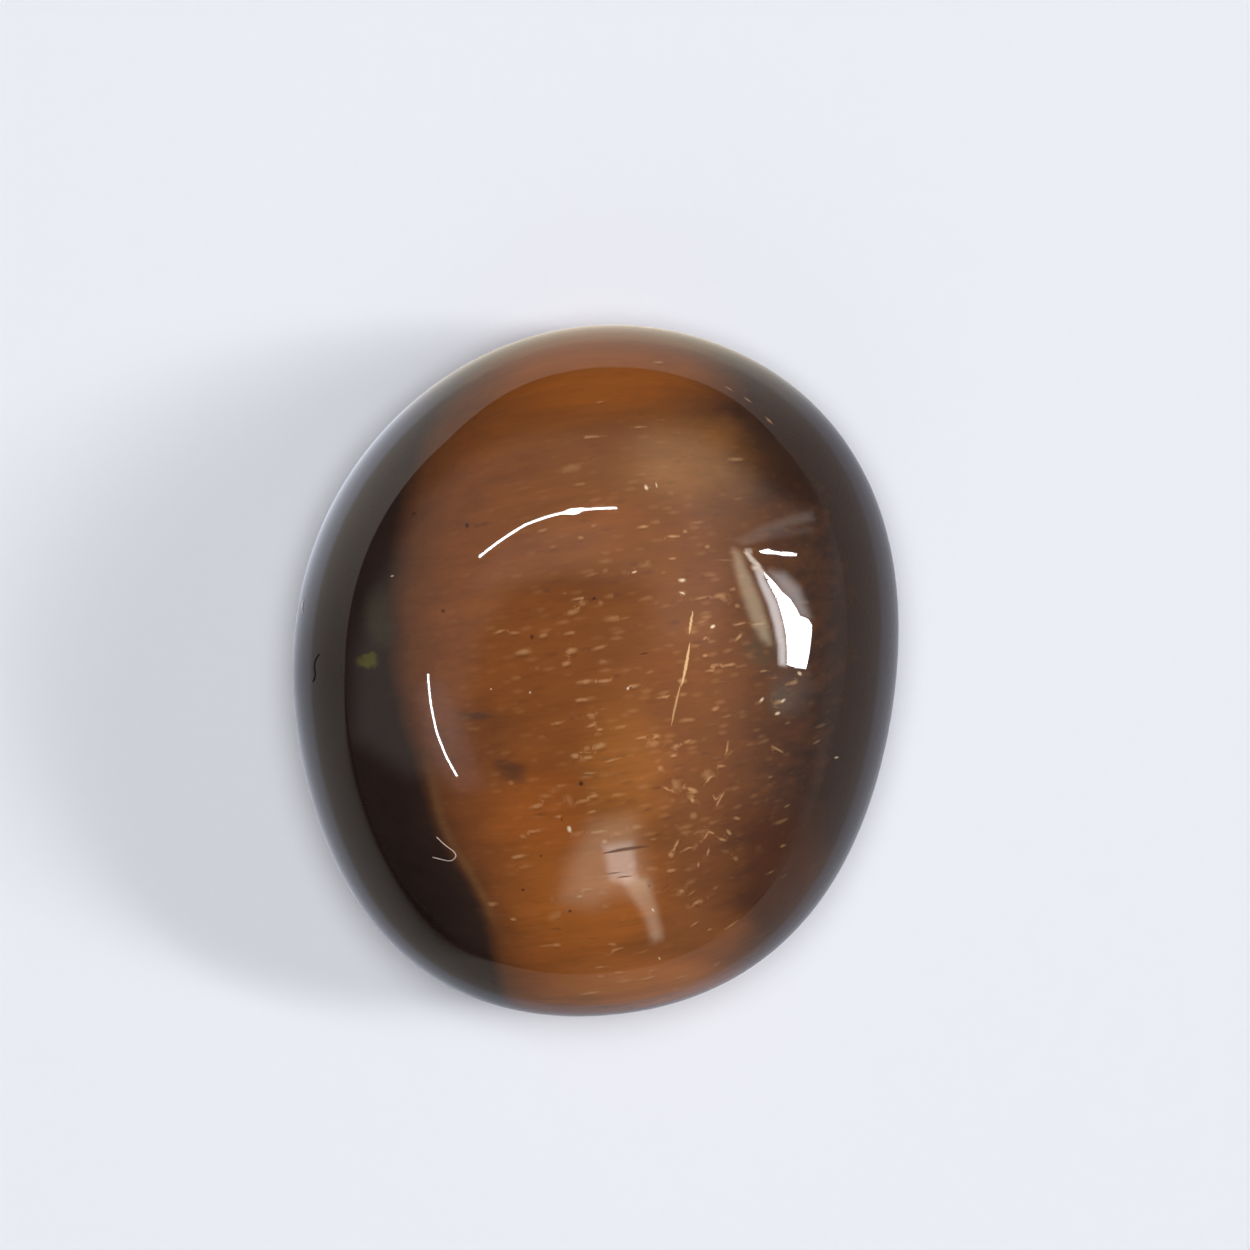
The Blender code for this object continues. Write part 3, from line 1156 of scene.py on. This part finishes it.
def strip_outline(middle_line, half_width):
    """The outline of a thin strip along a line of pixels."""
    points = [Vector(pixel) for pixel in middle_line]
    left, right = [], []
    for index, point in enumerate(points):
        before, after = points[max(index - 1, 0)], points[min(index + 1, len(points) - 1)]
        way = (after - before).normalized()
        side = Vector((-way.y, way.x)) * half_width
        left.append(point + side)
        right.append(point - side)
    return left + right[::-1]


def depth_inside(pixel, outline):
    """How far a pixel lies inside an outline, in pixels. Outside it the depth is below 0."""
    inside, nearest = False, math.inf
    for first, last in zip(outline, outline[1:] + outline[:1]):
        foot, share = intersect_point_line(pixel, first, last)
        foot = first if share < 0 else last if share > 1 else foot
        nearest = min(nearest, math.dist(pixel, foot))
        (x0, y0), (x1, y1) = first, last
        if (y0 > pixel[1]) != (y1 > pixel[1]) and pixel[0] < x0 + (pixel[1] - y0) * (x1 - x0) / (y1 - y0):
            inside = not inside
    return nearest if inside else -nearest


def glow_grid(view, outline, fade):
    """A grid mirrored to the camera over an outline of pixels, with each point's share of the glow."""
    step = max(fade / FADE_STEPS, FINEST_STEP)
    left, top = (min(pixel[axis] for pixel in outline) - fade / 2 for axis in (0, 1))
    right, bottom = (max(pixel[axis] for pixel in outline) + fade / 2 for axis in (0, 1))
    form = bmesh.new()
    layer = form.verts.layers.float.new("glow")
    rows = []
    for row in range(math.ceil((bottom - top) / step) + 1):
        rows.append([])
        for column in range(math.ceil((right - left) / step) + 1):
            pixel = (left + column * step, top + row * step)
            vertex = None
            if view.sees_stone(pixel):
                share = min(max(depth_inside(pixel, outline) / fade + 0.5, 0.0), 1.0)
                place, direction = view.mirrored(pixel)
                vertex = form.verts.new(place + direction * SOFT_CARD_REACH)
                vertex[layer] = share * share * (3 - 2 * share)
            rows[-1].append(vertex)
    for upper, lower in zip(rows, rows[1:]):
        for corners in zip(upper, upper[1:], lower[1:], lower):
            if all(corners) and any(corner[layer] > 0 for corner in corners):
                form.faces.new(corners)
    return form


def soft_card(name, view, outline, fade, brightness, colour):
    """A glow that the camera sees mirrored inside an outline of pixels, fading out across its edge."""
    mesh = mesh_from(glow_grid(view, outline, fade), name)
    material, tree = glow_material(name, brightness, colour)
    share = Sum(tree, attribute(tree, "glow", "Fac"))
    feed(tree, tree.nodes["Emission"].inputs["Strength"], share * brightness)
    both = add(tree, "ShaderNodeAddShader", {0: tree.nodes["Emission"].outputs[0]})
    tree.links.new(tree.nodes.new("ShaderNodeBsdfTransparent").outputs[0], both.inputs[1])
    tree.links.new(both.outputs[0], tree.nodes["Material Output"].inputs["Surface"])
    return staged_card(name, mesh, material)


# What the polish mirrors, by its outline on the photo: sharp-edged lamps and windows.
WINDOW = (
    (763, 572), (772, 580), (782, 592), (790, 599), (796, 608), (800, 616), (808, 619), (812, 625),
    (811, 640), (809, 655), (806, 669), (797, 668), (787, 665), (787, 650), (786, 635), (783, 620),
    (777, 600), (770, 586),
)
WINDOW_TOP = (
    (759, 551), (768, 549), (774, 551), (781, 552), (788, 552), (797, 554), (796, 556), (784, 556),
    (775, 554), (766, 554), (761, 553),
)
TOP_ARC = ((479, 557), (500, 541), (525, 525), (550, 516), (580, 510), (617, 508))
LEFT_ARC = ((428, 674), (431, 705), (437, 733), (446, 756), (457, 776))

# The same for soft glows: name, outline, how wide its edge fades, brightness and colour.
SOFT_GLOWS = (
    (
        "ceiling",
        (
            (357, 655), (366, 620), (378, 590), (400, 548), (424, 500), (465, 463), (520, 436), (600, 430),
            (690, 432), (730, 457), (770, 487), (803, 514), (742, 545), (722, 600), (712, 650), (660, 640),
            (652, 582), (560, 578), (510, 592), (478, 640), (470, 700), (452, 780), (400, 770), (354, 735),
        ),
        30, 0.36, (1.0, 0.95, 0.90),
    ),
    (
        "upper haze",
        ((640, 432), (700, 440), (738, 462), (765, 492), (748, 520), (700, 540), (670, 500), (640, 470)),
        34, 0.34, (1.0, 0.96, 0.80),
    ),
    (
        "pink haze",
        ((500, 545), (560, 520), (620, 525), (600, 560), (520, 580), (470, 590)),
        22, 0.26, (1.0, 0.85, 0.90),
    ),
    (
        "left haze",
        ((418, 690), (440, 680), (470, 740), (482, 786), (458, 792), (430, 750)),
        20, 0.42, (0.95, 0.90, 1.1),
    ),
    (
        "right room",
        ((700, 560), (860, 500), (850, 700), (810, 820), (740, 800), (720, 700)),
        60, 0.20, (1.0, 0.92, 0.86),
    ),
    (
        "window side",
        (
            (733, 549), (739, 552), (750, 576), (761, 602), (768, 626), (771, 644), (762, 640), (752, 622),
            (742, 594), (735, 568),
        ),
        10, 4.4, (1.0, 0.88, 0.62),
    ),
    (
        "window shine",
        (
            (754, 567), (763, 576), (771, 590), (778, 605), (783, 624), (786, 645), (786, 666), (779, 665),
            (778, 645), (774, 625), (768, 604), (759, 583),
        ),
        5, 10.5, (1.0, 0.97, 0.97),
    ),
    (
        "window tip",
        ((744, 552), (748, 552), (758, 563), (768, 577), (764, 577), (753, 565)),
        3, 11.0, (1.0, 0.92, 0.78),
    ),
    ("window dot", ((745, 549), (752, 550), (752, 553), (746, 552)), 3, 8.0, (1.0, 0.92, 0.80)),
    (
        "window haze",
        ((770, 572), (785, 574), (799, 588), (809, 617), (800, 616), (792, 603), (780, 589)),
        12, 4.4, (1.0, 0.96, 0.96),
    ),
    (
        "upper beam",
        ((736, 540), (762, 526), (790, 516), (812, 512), (814, 520), (792, 526), (766, 536), (745, 544)),
        9, 1.0, (1.0, 0.98, 0.92),
    ),
    ("lower beam", ((740, 545), (780, 531), (812, 527), (813, 532), (782, 538)), 7, 0.6, (1.0, 0.98, 0.95)),
    (
        "window foot",
        ((776, 672), (806, 672), (812, 690), (800, 712), (782, 716), (772, 694)),
        24, 0.55, (1.0, 0.96, 0.90),
    ),
    (
        "low lamp",
        (
            (594, 824), (608, 820), (634, 817), (641, 850), (650, 886), (640, 895), (615, 894), (592, 906),
            (562, 900), (570, 864), (582, 840),
        ),
        30, 1.9, (1.0, 0.94, 0.74),
    ),
    (
        "low lamp core",
        ((604, 845), (632, 842), (637, 880), (624, 884), (610, 880)),
        11, 3.6, (1.0, 0.97, 0.97),
    ),
    (
        "low lamp tail",
        ((622, 876), (647, 879), (656, 905), (662, 938), (653, 942), (644, 915), (630, 895)),
        11, 2.6, (1.0, 0.92, 0.72),
    ),
    (
        "right wall",
        (
            (704, 372), (760, 412), (797, 456), (822, 500), (831, 545), (826, 640), (822, 720), (808, 800),
            (788, 850), (760, 905), (800, 905), (846, 830), (868, 740), (878, 640), (872, 540), (846, 470),
            (800, 410), (740, 368),
        ),
        16, 0.20, (1.0, 0.97, 0.95),
    ),
)


def hang_cards(view):
    """What the polish mirrors: two windows, two lamps, the ceiling and the walls."""
    window = mirror_card("window_card", view, WINDOW, WINDOW_GLOW)
    window.visible_diffuse = True
    mirror_card("window_top_card", view, WINDOW_TOP, LAMP_GLOW)
    mirror_card("top_lamp_card", view, strip_outline(TOP_ARC, 1.1), LAMP_GLOW)
    mirror_card("left_lamp_card", view, strip_outline(LEFT_ARC, 0.9), LAMP_GLOW)
    for name, outline, fade, brightness, colour in SOFT_GLOWS:
        soft_card(name.replace(" ", "_") + "_card", view, outline, fade, brightness, colour)


def main():
    camera = make_camera()
    tree = stone_tree()
    guide = grow_stone("guide", tree, GUIDE_SEGMENTS, 0.0, None, None, None)
    view = StoneView(camera, guide)
    placed_flecks = place_flecks(view)
    stone = grow_stone(
        "cabochon_stone",
        tree,
        STONE_SEGMENTS,
        FLECK_DEPTH,
        placed_flecks,
        polished_stone(view),
        ground_stone(view),
    )
    bpy.data.objects.remove(placed_flecks)
    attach(stone, "root")
    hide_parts("cabochon")
    lay_threads(view)
    lay_floor()
    light_room()
    hang_softboxes()
    hang_cards(view)
    bpy.data.objects.remove(guide)


main()
